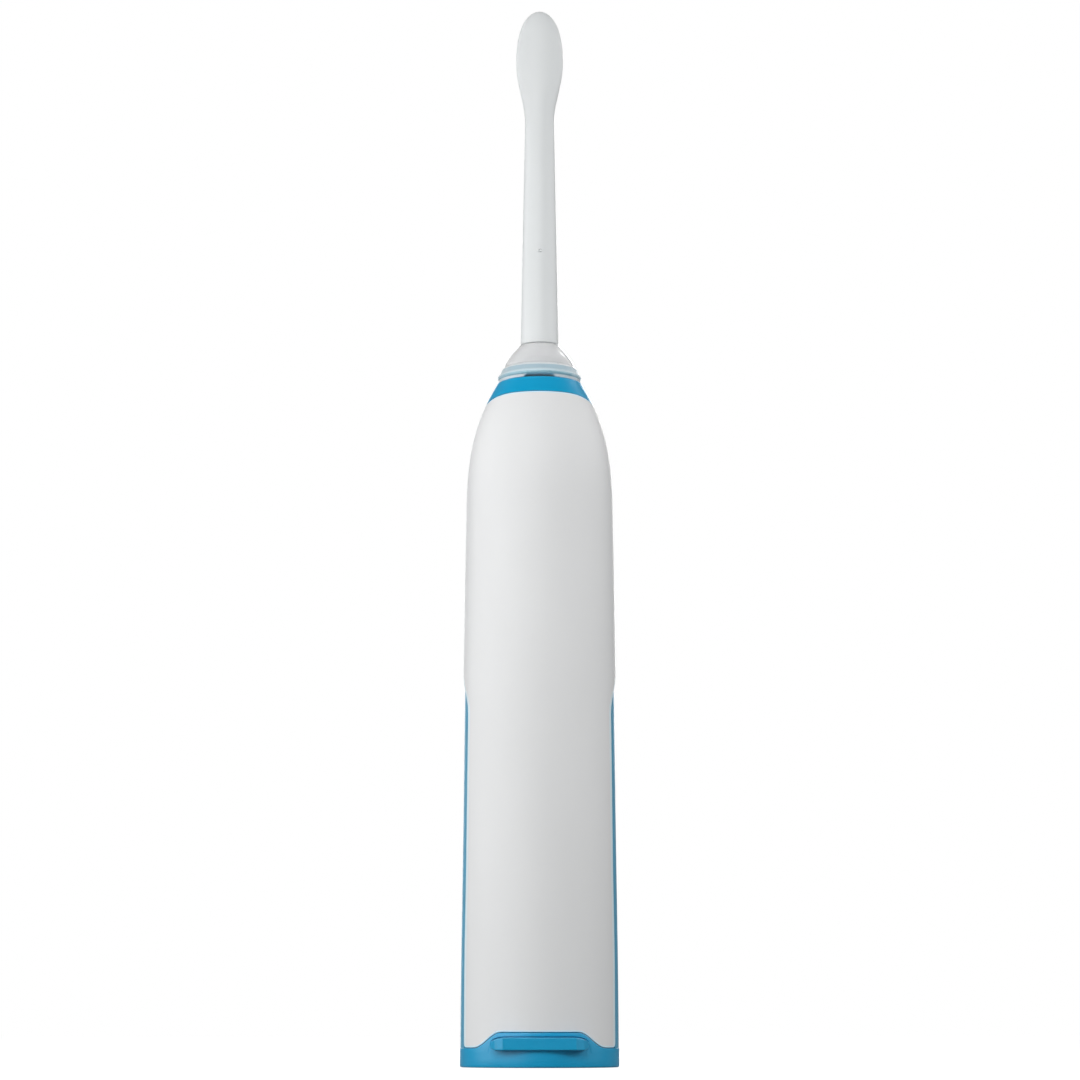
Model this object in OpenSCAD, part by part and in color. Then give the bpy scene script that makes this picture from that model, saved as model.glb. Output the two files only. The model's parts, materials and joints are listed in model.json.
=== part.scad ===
// Sonic electric toothbrush: handle, screw-on brush head and pull-off end cap.
// Millimetres. +Z runs up the handle, the bristles and the power button face +Y and
// the thumb lug faces -Y. The origin is the centre of the underside, at the mouth of
// the charging socket.

/* [Handle] */
// Radius of the handle at its base
base_r = 18.4; // [18.2:0.1:18.8]
// Height of the top of the neck ring
neck_z = 160.5; // [160:0.5:161]
// Height at which the shoulder starts to draw in
shoulder_z = 130; // [128:1:132]
// How much the radius drops from the base to the shoulder
waist_drop = 1.1; // [0.9:0.1:1.2]
// How much the shoulder draws in up to the neck
shoulder_drop = 6.9; // [6.7:0.1:7.0]
// Thickness of the white covers and of the side grips
cover_t = 1.3; // [1.2:0.1:1.4]
// Wall thickness of the housing inside the covers
wall_t = 1.5; // [1.4:0.1:1.6]
// Height of the covers' lower edge
cover_z = 4.5; // [4.3:0.1:4.7]
// Height of the covers' upper edge
cover_top_z = 156.4; // [156:0.1:156.6]

/* [Side grips] */
// Half width of a side grip
grip_y = 6.8; // [6.3:0.1:7]
// Half width of each side grip at its foot
grip_foot_y = 6.2; // [5.5:0.1:6.3]
// Height of a side grip's pointed top
grip_top_z = 91; // [88:1:94]
// Length over which the top comes to a point
grip_point = 10; // [9:1:13]
// How far the side grips lie below the covers
grip_recess = 0.4; // [0.2:0.1:0.5]

/* [Front] */
// Height of the power button's centre
button_z = 118; // [117.5:0.5:118.5]
// Radius of the power button
button_r = 5.6; // [5.2:0.1:5.8]
// How far the button stands proud
button_proud = 0.35; // [0.2:0.05:0.5]
// Height of the status light's centre
led_z = 102; // [100:1:104]
// Radius of the light pipe
lens_r = 1.4; // [1.2:0.1:1.6]
// Half width of the front grip
pad_r = 6.5; // [6:0.5:7]
// Height of the front grip's lower end
pad_z0 = 30; // [26:1:34]
// Height of the front grip's upper end
pad_z1 = 93; // [90:1:95]
// Number of ribs on the front grip
pad_ribs = 13; // [9:1:15]

/* [End cap] */
// Radius of the charging socket
socket_r = 4.5; // [4.3:0.1:4.6]
// Depth of the charging socket
socket_len = 12; // [11:0.5:12]
// Height of the end cap's hump above the covers' lower edge
hump_h = 3.5; // [3:0.1:4]
// Half width of the hump's flat top
hump_x0 = 8.95; // [8.5:0.05:9.3]
// Half width of the hump at its foot
hump_x1 = 15.05; // [14.5:0.05:15.3]
// Half width of the thumb lug
lug_x = 11.2; // [10.8:0.1:11.3]
// Half width of the lug's flat face
lug_flat_x = 8.3; // [7.5:0.1:8.6]
// Distance of the lug's flat face from the handle's axis
lug_y = 19.5; // [19.2:0.1:20]

/* [Brush head] */
// Height at which the brush arm's stem starts
stem_z = 170.45; // [170.4:0.05:170.6]
// Half width of the stem at its foot
stem_r = 4.6; // [4.4:0.1:4.7]
// Half width of the stem at its narrowest
neck_w = 3.56; // [3.4:0.1:3.7]
// Half width of the brush plate
plate_w = 5.64; // [5.4:0.1:5.8]
// Height of the brush's tip
tip_z = 253; // [252:0.5:253]
// Length of the bristles above the tuft plate
bristle_len = 10.4; // [9:0.1:11]
// Radius of one tuft
tuft_r = 0.72; // [0.66:0.02:0.76]

/* [Thread] */
// Rise of the head nut in one turn
pitch = 2; // [1.9:0.1:2.1]
// Turns of thread on the nose and in the nut
thread_turns = 1.2; // [1.1:0.05:1.2]
// Radius of the nose's body under its thread
nose_r = 6.8; // [6.7:0.05:6.8]
// Radius of the crest of the nose's thread
nose_crest_r = 7.5; // [7.4:0.05:7.5]

/* [Hidden] */

$fn = 96;
far = 40;
fit_gap = 0.1;

// Colours
white = "#e3e5e5";
blue = "#1795c9";
ice_blue = "#bcd6e2";
brush_white = "#e9eded";
cone_grey = "#cfd0d1";
black = "#14181c";
steel = "#a8adb2";
copper = "#b8703a";
nylon = "#e8e0cc";
board_green = "#1f6b45";

// Handle layers, as offsets from the outer surface
housing_off = -cover_t - fit_gap;
inner_off = housing_off - wall_t;
housing_z = 2.2;
ceiling_z = neck_z - 6.5;

// Heights between which a side grip widens
grip_widen_z = [20, 50];

// End cap
cap_r = base_r - 0.05;
cap_floor = 2;
cap_edge = 0.5;
cap_split = 0.3;
rim_in_r = base_r + housing_off + 0.15;
skirt_r = base_r + inner_off - 0.2;
skirt_in_r = skirt_r - 2.4;
skirt_z = 12;
groove_z = 8;
groove_h = 1.8;
groove_r = skirt_r - 1.4;
ring_minor_r = 0.75;
socket_wall = 1.2;
lug_z0 = 3.9;
lug_z1 = 6.75;
lug_foot_r = 1.35;
lug_top_rx = 3.7;
lug_top_rz = 1.45;
lug_end_y = 16.2;
lug_knee = [lug_x - 1.1, 18.1];

// Neck and brush head
nose_bore_r = 5.6;
nose_floor_z = neck_z - 5.4;
nose_top_z = neck_z + 3.9;
thread_z = neck_z + 0.75;
thread_foot = 0.8;
thread_crest = 0.4;
nut_bore_r = 7.7;
nut_crest_r = 7.05;
nut_z = neck_z + 0.5;
nut_wall = 0.75;
nut_gap = 0.3;
nut_thread_turned = 216;
hub_z = nose_top_z + 0.2;
hub_wall = 0.85;
hub_mouth_r = 3.1;
pivot_z = neck_z + 5.5;
pin_r = 0.75;
pin_len = 11.8;
pin_play = 0.04;
shaft_r = 2.5;
shaft_z = neck_z - 0.5;
shaft_in_stem = 9;
yoke_h = 1;
magnet_h = 2.5;
plate_mid_z = tip_z - 13.5;
stem_thin_z = 225;
face_y = 0.9;
tuft_top_y = 2.4;
field_r = 4.5;
field_z0 = tip_z - 15.2;
field_z1 = tip_z - 6.9;
row_step = 1.62;
tuft_step = 1.78;
tuft_margin = 0.93;

// Chassis, cells and board
deck_z = 15;
deck_t = 2;
deck_r = 14.4;
top_deck_z = 124;
top_deck_t = 4;
top_deck_r = 13.4;
rail_x0 = 10;
rail_x1 = 12.3;
rail_y0 = -4;
board_y = 6;
board_t = 1.2;
board_w = 11.8;
board_z0 = 24;
board_z1 = 123;
screw_x = 11.05;
screw_r = 0.85;
screw_head_r = 1.3;
screw_z = [34, 96];
cell_y = -5;
cell_r = 7.1;
cell_len = 48.5;
cell_nub = 1;
cell_z = deck_z + deck_t + 0.3;
cell_pitch = cell_len + cell_nub + 0.1;
switch_y = board_y + board_t;
switch_h = 3.4;
plunger_r = 1.6;
plunger_y0 = switch_y + switch_h - 0.7;
plunger_y1 = switch_y + switch_h + 1.3;
core_z = 132;
core_top_z = 153.5;

// Handle radius at a height
function body_r(z) = base_r - waist_drop * pow(z / shoulder_z, 1.9)
    - (z > shoulder_z ? shoulder_drop * pow((z - shoulder_z) / (neck_z - shoulder_z), 2.7) : 0);

// Heights of the outline's points: few on the long stretch, more on the shoulder
stations = concat([for (i = [1:6]) shoulder_z * i / 6],
    [for (i = [1:12]) shoulder_z + (neck_z - shoulder_z) * i / 12]);

// Points of the handle's outline between two heights, moved out by off
function outline(off, z0, z1) = concat([[body_r(z0) + off, z0]],
    [for (z = stations) if (z > z0 + 0.3 && z < z1 - 0.3) [body_r(z) + off, z]],
    [[body_r(z1) + off, z1]]);

function reversed(list) = [for (i = [len(list) - 1:-1:0]) list[i]];
function clamp01(t) = max(0, min(1, t));
function smooth(t) = clamp01(t) * clamp01(t) * (3 - 2 * clamp01(t));
function mix(a, b, t) = a + (b - a) * t;

// Faces of a solid made of rings of points, each with the same number of sides
function tube_walls(rings, sides) = [for (i = [0:rings - 2], j = [0:sides - 1])
    let (n = (j + 1) % sides, a = i * sides, b = a + sides)
    [a + j, b + j, b + n, a + n]];
function tube_ends(rings, sides) = [[for (j = [0:sides - 1]) j],
    [for (j = [sides - 1:-1:0]) (rings - 1) * sides + j]];

// Points of a quarter ellipse round a centre, from angle a by 90 degrees
function quarter(centre, rx, rz, a) = [for (i = [0:5])
    centre + [rx * cos(a + 18 * i), rz * sin(a + 18 * i)]];

// Height of the hump above the covers' lower edge at x
function hump_rise(x) = hump_h * smooth((hump_x1 - abs(x)) / (hump_x1 - hump_x0));

// Ring between two offsets from the handle's surface
module shell(in_off, out_off, z0, z1) {
    rotate_extrude()
        polygon(concat(outline(out_off, z0, z1), reversed(outline(in_off, z0, z1))));
}

// Solid of the handle's surface moved out by off
module handle_solid(off, z0, z1) {
    rotate_extrude() polygon(concat(outline(off, z0, z1), [[0, z1], [0, z0]]));
}

// Sweeps an outline drawn in x and z along Y
module along_y(y0, y1) {
    translate([0, y1, 0]) rotate([90, 0, 0]) linear_extrude(y1 - y0) children();
}

// Sweeps an outline drawn in y and z along X
module along_x(x0, x1) {
    translate([x0, 0, 0]) rotate([90, 0, 90]) linear_extrude(x1 - x0) children();
}

// Round bar along Y
module rod_y(r, x, z, y0, y1) {
    translate([x, y1, z]) rotate([90, 0, 0]) cylinder(r = r, h = y1 - y0);
}

// Tube along Z
module tube(r_in, r_out, z0, z1) {
    translate([0, 0, z0]) rotate_extrude() translate([r_in, 0]) square([r_out - r_in, z1 - z0]);
}

// Upright outline with round ends
module stadium(r, z0, z1) {
    translate([0, z0 + r]) circle(r);
    translate([0, z1 - r]) circle(r);
    translate([-r, z0 + r]) square([2 * r, z1 - z0 - 2 * r]);
}

// Side grip seen from the side, with its pointed top
module grip_outline(gap, z0) {
    w = grip_y - gap;
    foot_w = grip_foot_y - gap;
    top = grip_top_z - gap;
    steps = 10;
    point = [for (i = [0:steps]) [w * cos(90 * i / steps), top - grip_point * (1 - i / steps)]];
    side = concat([[foot_w, z0], [foot_w, grip_widen_z[0]], [w, grip_widen_z[1]]], point);
    polygon(concat(side, [for (i = [len(side) - 2:-1:0]) [-side[i][0], side[i][1]]]));
}

// Edge of the hump seen from behind, closed above or below
module hump_region(gap, top) {
    steps = 8;
    edge = [for (s = [-1, 1], i = [0:steps])
        let (t = s < 0 ? i / steps : 1 - i / steps, x = s * mix(hump_x1, hump_x0, t))
        [x, cover_z + hump_rise(x) - gap]];
    polygon(concat([[-far, cover_z - gap]], edge, [[far, cover_z - gap], [far, top], [-far, top]]));
}

// One helical rib of thread, from z0 upwards, with run-out at both ends
module thread_rib(foot_r, crest_r, z0) {
    sides_per_turn = 24;
    steps = floor(thread_turns * sides_per_turn);
    run_out = 4;
    points = [for (i = [0:steps])
        let (a = 360 * i / sides_per_turn, z = z0 + pitch * i / sides_per_turn,
            grown = clamp01(min(i, steps - i) / run_out),
            tip_r = mix(foot_r, crest_r, mix(0.3, 1, grown)),
            foot = thread_foot / 2, crest = thread_crest / 2)
        each [for (p = [[foot_r, -foot], [tip_r, -crest], [tip_r, crest], [foot_r, foot]])
            [p[0] * cos(a), p[0] * sin(a), z + p[1]]]];
    sides = [for (i = [0:steps - 1], k = [0:3])
        let (n = (k + 1) % 4, a = 4 * i)
        crest_r > foot_r ? [a + k, a + n, a + 4 + n, a + 4 + k]
            : [a + k, a + 4 + k, a + 4 + n, a + n]];
    last = 4 * steps;
    caps = crest_r > foot_r ? [[3, 2, 1, 0], [last, last + 1, last + 2, last + 3]]
        : [[0, 1, 2, 3], [last + 3, last + 2, last + 1, last]];
    polyhedron(points, concat(sides, caps), convexity = 6);
}

// Round wire in an upright plane: x is the plane's place, route holds its points' y and z
module wire(x, route, r) {
    sides = 8;
    last = len(route) - 1;
    runs = [for (i = [0:last - 1]) (route[i + 1] - route[i]) / norm(route[i + 1] - route[i])];
    across = [for (run = runs) [run[1], -run[0]]];
    mitred = [for (i = [0:last])
        let (m = across[max(0, i - 1)], n = across[min(last - 1, i)])
        (m + n) / (1 + m * n)];
    points = [for (i = [0:last], j = [0:sides - 1])
        let (a = 360 * j / sides)
        [x + r * cos(a), route[i][0] + r * sin(a) * mitred[i][0],
            route[i][1] + r * sin(a) * mitred[i][1]]];
    polyhedron(points, concat(tube_walls(last + 1, sides), tube_ends(last + 1, sides)));
}

module housing() {
    edge = 0.4;
    top = [[body_r(cover_top_z + fit_gap), cover_top_z + fit_gap],
        [body_r(neck_z - 2.5), neck_z - 2.5], [body_r(neck_z - edge), neck_z - edge],
        [body_r(neck_z) - edge, neck_z], [nose_r + 0.05, neck_z], [nose_r + 0.05, ceiling_z]];
    color(blue) difference() {
        rotate_extrude() polygon(concat(outline(housing_off, housing_z, cover_top_z + fit_gap),
            top, reversed(outline(inner_off, housing_z, ceiling_z))));
        rod_y(2.2, 0, button_z, 5, far);
        rod_y(lens_r + fit_gap, 0, led_z, 5, far);
    }
}

// Half of the white shell: side -1 is the rear half, 1 the front half
module cover_half(side) {
    difference() {
        shell(-cover_t, 0, cover_z, cover_top_z);
        translate([-far, side > 0 ? -2 * far + fit_gap / 2 : -fit_gap / 2, 0])
            cube([2 * far, 2 * far, neck_z]);
        along_x(-far, far) grip_outline(0, 0);
    }
}

module rear_cover() {
    color(white) difference() {
        cover_half(-1);
        along_y(-far, 0) difference() {
            translate([-hump_x1, 0]) square([2 * hump_x1, cover_z + hump_h + 1]);
            hump_region(0, far);
        }
    }
}

module front_cover() {
    color(white) difference() {
        cover_half(1);
        intersection() {
            shell(-0.65, 1, pad_z0 - 2, pad_z1 + 2);
            along_y(0, far) stadium(pad_r, pad_z0, pad_z1);
        }
        rod_y(button_r + 1, 0, button_z, 0, far);
        rod_y(lens_r + fit_gap, 0, led_z, 0, far);
    }
}

module side_grip() {
    intersection() {
        shell(-cover_t, -grip_recess, cover_z - fit_gap, grip_top_z + 1);
        along_x(0, far) grip_outline(fit_gap, 0);
    }
}

module side_grip_left() {
    color(blue) mirror([1, 0, 0]) side_grip();
}

module side_grip_right() {
    color(blue) side_grip();
}

module front_grip() {
    first = pad_z0 + 6;
    step = (pad_z1 - pad_z0 - 12) / (pad_ribs - 1);
    color(blue) {
        intersection() {
            shell(-0.6, 0.4, pad_z0 - 1, pad_z1 + 1);
            along_y(0, far) stadium(pad_r - fit_gap, pad_z0 + fit_gap, pad_z1 - fit_gap);
        }
        for (i = [0:pad_ribs - 1])
            intersection() {
                shell(0.2, 0.75, first + i * step - 1, first + i * step + 1);
                along_y(0, far) translate([0, first + i * step])
                    square([2 * pad_r - 4, 1.6], center = true);
            }
    }
}

module button_bezel() {
    color("#c9cfd2") intersection() {
        shell(-cover_t + 0.05, 0.2, button_z - 9, button_z + 9);
        along_y(5, far) translate([0, button_z]) difference() {
            circle(button_r + 0.9);
            circle(button_r + 0.15);
        }
    }
}

module power_button() {
    color("#d5dadc") {
        intersection() {
            shell(-0.9, button_proud, button_z - 8, button_z + 8);
            rod_y(button_r, 0, button_z, 5, far);
        }
        rod_y(1.9, 0, button_z, plunger_y1 + 0.05, body_r(button_z) - 0.5);
    }
}

module switch_plunger() {
    color(black) rod_y(plunger_r, 0, button_z, plunger_y0, plunger_y1);
}

module led_lens() {
    color("#dfeaf0") intersection() {
        handle_solid(0.05, led_z - 4, led_z + 4);
        rod_y(lens_r, 0, led_z, board_y + board_t + 1.9, far);
    }
}

module threaded_nose() {
    color("#3a4045") {
        rotate_extrude() polygon([[0, ceiling_z - 0.1], [nose_r, ceiling_z - 0.1],
            [nose_r, nose_top_z], [nose_bore_r, nose_top_z],
            [nose_bore_r, nose_floor_z], [0, nose_floor_z]]);
        thread_rib(nose_r - 0.2, nose_crest_r, thread_z);
    }
}

module nose_seal() {
    color(black) tube(nose_r + 0.05, nose_r + 1.9, neck_z, neck_z + 0.4);
}

// Outside of the head nut: rounded flange, step and cone
function nut_outside() = [for (p = [[9.45, 0.5], [9.9, 0.85], [9.95, 1.8], [9.38, 2.8], [8.64, 3.8],
    [8.12, 4.7], [7.54, 5.7], [6.82, 6.7], [6.02, 7.7], [5.18, 8.7], [4.77, 9.6]])
    [p[0], p[1] + neck_z]];

// The cone's stretch of that outline, moved in
function nut_cone(inward) = [for (p = nut_outside()) if (p[1] > neck_z + 4.5) [p[0] - inward, p[1]]];

module head_nut() {
    color(ice_blue, 0.6) {
        rotate_extrude() polygon(concat(nut_outside(), reversed(nut_cone(nut_wall)),
            [[nut_bore_r - 0.1, neck_z + 4.1], [nut_bore_r, neck_z + 3.8], [nut_bore_r, nut_z]]));
        rotate(nut_thread_turned)
            thread_rib(nut_bore_r + 0.2, nut_crest_r,
                thread_z + pitch * (nut_thread_turned - 180) / 360);
    }
}

module hub_cone() {
    outside = nut_cone(nut_wall + nut_gap);
    inside = [for (p = outside) [max(hub_mouth_r, p[0] - hub_wall), p[1]]];
    color(cone_grey) difference() {
        rotate_extrude() polygon(concat([[outside[0][0], hub_z]], outside,
            reversed(inside), [[inside[0][0], hub_z]]));
        rod_y(pin_r, 0, pivot_z, -far, far);
    }
}

module pivot_pin() {
    color(steel) rod_y(pin_r, 0, pivot_z, -pin_len / 2, pin_len / 2);
}

module stem_seal() {
    color(black) tube(shaft_r + 0.3, nut_cone(nut_wall + nut_gap + hub_wall)[0][0] - 0.05,
        hub_z, hub_z + 0.4);
}

module pivot_shaft() {
    color(steel) difference() {
        translate([0, 0, shaft_z]) cylinder(r = shaft_r, h = stem_z + shaft_in_stem - shaft_z);
        rod_y(pin_r + pin_play, 0, pivot_z, -far, far);
    }
}

// Half width of the brush arm at a height
function arm_w(z) = z < stem_thin_z
    ? mix(stem_r, neck_w, (z - stem_z) / (stem_thin_z - stem_z))
    : z < plate_mid_z
    ? mix(neck_w, plate_w, smooth((z - stem_thin_z) / (plate_mid_z - stem_thin_z)))
    : plate_w * sqrt(max(0, 1 - pow((z - plate_mid_z) / (tip_z - plate_mid_z), 2.3)));

// Half depth of the brush arm at a height
function arm_d(z) = z < stem_thin_z
    ? mix(stem_r - 0.1, 2.7, (z - stem_z) / (stem_thin_z - stem_z))
    : z < plate_mid_z
    ? mix(2.7, 2.2, smooth((z - stem_thin_z) / (plate_mid_z - stem_thin_z)))
    : 2.2 * sqrt(max(0, 1 - pow((z - plate_mid_z) / (tip_z - plate_mid_z), 5)));

// Front face of the arm: open on the stem, flat behind the tuft plate
function arm_front(z) = mix(5, face_y, smooth((z - stem_thin_z) / 7));

module brush_arm() {
    sides = 32;
    levels = concat([for (i = [0:6]) mix(stem_z, stem_thin_z, i / 6)],
        [for (i = [1:9]) mix(stem_thin_z, plate_mid_z, i / 9)],
        [for (i = [1:10]) mix(plate_mid_z, tip_z - 0.05, sin(90 * i / 10))]);
    points = [for (z = levels, j = [0:sides - 1])
        let (a = 360 * j / sides)
        [arm_w(z) * cos(a), min(arm_d(z) * sin(a), arm_front(z)), z]];
    faces = concat(tube_walls(len(levels), sides), tube_ends(len(levels), sides));
    color(brush_white) difference() {
        polyhedron(points, faces, convexity = 4);
        translate([0, 0, stem_z - 1]) cylinder(r = shaft_r, h = shaft_in_stem + 1);
    }
}

// Where the tufts stand: rows up the field, kept inside its round ends
function in_field(x, z, margin) = norm([x, z - max(field_z0, min(field_z1, z))]) <= field_r - margin;
tufts = [for (row = [0:9], col = [-2:2])
    let (z = field_z0 - field_r + 1.37 + row * row_step, x = (col + (row % 2) / 2) * tuft_step)
    if (in_field(x, z, tuft_margin)) [x, z]];
function on_edge(t) = !in_field(t[0], t[1], tuft_margin + 1.2);

module tuft_plate() {
    color(brush_white) difference() {
        along_y(face_y + 0.05, tuft_top_y) stadium(field_r, field_z0 - field_r, field_z1 + field_r);
        for (t = tufts)
            rod_y(tuft_r + 0.02, t[0], t[1], 0, 5);
    }
}

module bristles_outer() {
    color("#f4f6f6") for (t = tufts)
        if (on_edge(t))
            rod_y(tuft_r, t[0], t[1], face_y + 0.1, tuft_top_y + bristle_len, $fn = 16);
}

module bristles_inner() {
    color(blue) for (t = tufts)
        if (!on_edge(t))
            rod_y(tuft_r, t[0], t[1], face_y + 0.1, tuft_top_y + bristle_len - 0.9, $fn = 16);
}

module magnet_yoke() {
    color(steel) translate([-4.1, -2.6, shaft_z - yoke_h]) cube([8.2, 5.2, yoke_h]);
}

module drive_magnets() {
    color("#6d7278") for (s = [0, 1])
        mirror([s, 0, 0]) translate([0.3, -2.5, shaft_z - yoke_h - magnet_h])
            cube([3.7, 5, magnet_h]);
}

module chassis() {
    mid_z = cell_z + cell_len - 1;
    color("#d8d8d0") difference() {
        union() {
            translate([0, 0, deck_z]) cylinder(r = deck_r, h = deck_t);
            translate([0, 0, mid_z]) cylinder(r = 13.8, h = 2);
            translate([0, 0, top_deck_z]) cylinder(r = top_deck_r, h = top_deck_t);
            translate([-7.5, -4.5, top_deck_z]) cube([15, 9, core_z - top_deck_z]);
            for (s = [0, 1])
                mirror([s, 0, 0]) translate([rail_x0, rail_y0, deck_z])
                    cube([rail_x1 - rail_x0, board_y - rail_y0, top_deck_z - deck_z + 1]);
        }
        translate([0, cell_y, cell_z - 0.3]) cylinder(r = cell_r + 0.15, h = top_deck_z - cell_z + 0.3);
        translate([-far, board_y, deck_z + deck_t]) cube([2 * far, far, top_deck_z - deck_z - deck_t]);
        for (x = [-2, 2])
            translate([x, 11.5, deck_z - 1]) cylinder(r = 0.8, h = deck_t + 2);
        for (x = [-4, 4])
            translate([x, 9.5, top_deck_z - 1]) cylinder(r = 0.8, h = top_deck_t + 2);
        for (x = [-screw_x, screw_x], z = screw_z)
            rod_y(screw_r, x, z, 1, board_y + 1);
    }
}

module chassis_screws() {
    color(steel) for (x = [-screw_x, screw_x], z = screw_z) {
        rod_y(screw_r, x, z, 1.5, board_y + board_t + 0.1);
        rod_y(screw_head_r, x, z, board_y + board_t, board_y + board_t + 0.8);
    }
}

module stator_core() {
    color("#5b6066") difference() {
        translate([-8, -4, core_z]) cube([16, 8, core_top_z - core_z]);
        for (s = [0, 1])
            mirror([s, 0, 0]) translate([1.8, -5, core_z + 4]) cube([3.8, 10, core_top_z]);
    }
}

// Rectangular sleeve round the core's middle leg
module leg_sleeve(x_in, y_in, x_out, y_out, z0, z1) {
    translate([0, 0, z0]) linear_extrude(z1 - z0) difference() {
        square([2 * x_out, 2 * y_out], center = true);
        square([2 * x_in, 2 * y_in], center = true);
    }
}

module stator_bobbin() {
    z0 = core_z + 4.05;
    z1 = core_top_z - 1.7;
    color(nylon) {
        leg_sleeve(1.85, 4.05, 2.6, 4.8, z0, z1);
        leg_sleeve(1.85, 4.05, 5.5, 7.2, z0, z0 + 0.8);
        leg_sleeve(1.85, 4.05, 5.5, 7.2, z1 - 0.8, z1);
    }
}

module drive_coil() {
    color(copper) leg_sleeve(2.65, 4.85, 5.3, 7, core_z + 4.9, core_top_z - 2.55);
}

module circuit_board() {
    color(board_green) difference() {
        along_y(board_y, board_y + board_t) translate([-board_w, board_z0])
            square([2 * board_w, board_z1 - board_z0]);
        for (x = [-screw_x, screw_x], z = screw_z)
            rod_y(screw_r + 0.05, x, z, 0, far);
    }
}

// Chips, coils and capacitors: centre x and z, then width, height and thickness
module board_components() {
    chips = [[0, 60, 7, 7, 1], [-6, 74, 5, 4, 1.6], [5, 76, 4, 5, 1.2], [-5, 46, 5, 3, 1.4],
        [6, 90, 3, 2, 0.9], [-6, 90, 3, 2, 0.9], [0, 86, 3, 5, 1.1], [6, 60, 2, 1.2, 0.8],
        [-6, 60, 2, 1.2, 0.8]];
    color("#24282c") {
        for (c = chips)
            translate([c[0] - c[2] / 2, switch_y, c[1] - c[3] / 2]) cube([c[2], c[4], c[3]]);
        rod_y(2.5, 5, 46, switch_y, switch_y + 4.5);
        rod_y(2, -5, 34, switch_y, switch_y + 4);
        rod_y(3, 4, 36, switch_y, switch_y + 2.6);
    }
}

module tact_switch() {
    color(black) difference() {
        translate([-3, switch_y, button_z - 3]) cube([6, switch_h, 6]);
        rod_y(plunger_r + fit_gap, 0, button_z, plunger_y0 - 0.5, far);
    }
}

module status_led() {
    color("#f2f0dc") translate([-1.5, switch_y, led_z - 1]) cube([3, 1.3, 2]);
}

module battery_cells() {
    color("#2f8f6a") for (i = [0, 1])
        translate([0, cell_y, cell_z + i * cell_pitch]) {
            cylinder(r = cell_r, h = cell_len);
            cylinder(r = 2.7, h = cell_len + cell_nub);
        }
}

module battery_tabs() {
    top = cell_z + cell_pitch + cell_len + cell_nub + 0.05;
    color(steel) {
        translate([-3, cell_y - 4, deck_z + deck_t + 0.05]) cube([6, 11, 0.2]);
        translate([-3, cell_y - 4, top]) cube([6, 11, 0.2]);
    }
}

module battery_pad() {
    foot = cell_z + cell_pitch + cell_len + cell_nub + 0.3;
    color("#4a4f55") translate([0, cell_y, foot]) cylinder(r = 5.5, h = top_deck_z - foot);
}

module charge_bobbin() {
    color(nylon) rotate_extrude() polygon([[6, 4.5], [10, 4.5], [10, 5.5], [6.9, 5.5],
        [6.9, 13.8], [10, 13.8], [10, deck_z], [6, deck_z]]);
}

module charge_coil() {
    color(copper) tube(6.95, 9.6, 5.55, 13.75);
}

module wiring() {
    cell_top = cell_z + cell_pitch + cell_len + cell_nub;
    lead_r = 0.45;
    color("#b03030") {
        for (x = [-2, 2])
            wire(x, [[9.5, 11], [11.4, 12], [11.4, 25], [switch_y + 0.4, 27]], lead_r);
        for (x = [-4, 4])
            wire(x, [[switch_y + 0.5, 121.3], [9.5, 122.6], [9.5, 139], [7.5, 141]], lead_r);
        wire(0, [[1.9, cell_top + 0.7], [4, cell_top + 1], [5.5, cell_top]], lead_r);
        wire(4, [[1.9, cell_z + 0.4], [4.6, cell_z + 2], [5.5, cell_z + 8]], lead_r);
    }
}

// Thumb lug seen from behind: long slope at its upper corners, tight curve at the lower ones
module lug_outline() {
    foot = [lug_x - lug_foot_r, lug_z0 + lug_foot_r];
    top = [lug_x - lug_top_rx, lug_z1 - lug_top_rz];
    right = concat(quarter(foot, lug_foot_r, lug_foot_r, -90),
        quarter(top, lug_top_rx, lug_top_rz, 0));
    polygon(concat(right, [for (p = reversed(right)) [-p[0], p[1]]]));
}

// Thumb lug seen from above: flat face with two facets to each side
module lug_plan() {
    right = [[lug_flat_x, -lug_y], [lug_knee[0], -lug_knee[1]], [lug_x, -lug_end_y], [lug_x, -12]];
    polygon(concat(right, [for (p = reversed(right)) [-p[0], p[1]]]));
}

// Cap: floor with the socket, skirt with the seal's groove, rim, hump and lug
module end_cap() {
    profile = [[socket_r, 0], [cap_r - cap_edge, 0], [cap_r, cap_edge], [cap_r, cover_z + hump_h],
        [rim_in_r, cover_z + hump_h], [rim_in_r, cap_floor], [skirt_r, cap_floor],
        [skirt_r, groove_z], [groove_r, groove_z], [groove_r, groove_z + groove_h],
        [skirt_r, groove_z + groove_h], [skirt_r, skirt_z], [skirt_in_r, skirt_z],
        [skirt_in_r, cap_floor], [socket_r + socket_wall, cap_floor],
        [socket_r + socket_wall, socket_len + socket_wall], [0, socket_len + socket_wall],
        [0, socket_len], [socket_r, socket_len]];
    color(blue) {
        difference() {
            rotate_extrude() polygon(profile);
            intersection() {
                tube(skirt_r + 0.8, far, 0, far);
                union() {
                    along_y(-far, 0) hump_region(cap_split, far);
                    translate([-far, 0, cover_z - cap_split]) cube(2 * far);
                }
            }
        }
        difference() {
            intersection() {
                linear_extrude(lug_z1 + 1) lug_plan();
                along_y(-far, 0) lug_outline();
            }
            cylinder(r = (cap_r + rim_in_r) / 2, h = far);
        }
    }
}

module cap_seal() {
    color(black) rotate_extrude()
        translate([skirt_r + 0.15 - ring_minor_r, groove_z + groove_h / 2]) circle(ring_minor_r);
}

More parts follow.
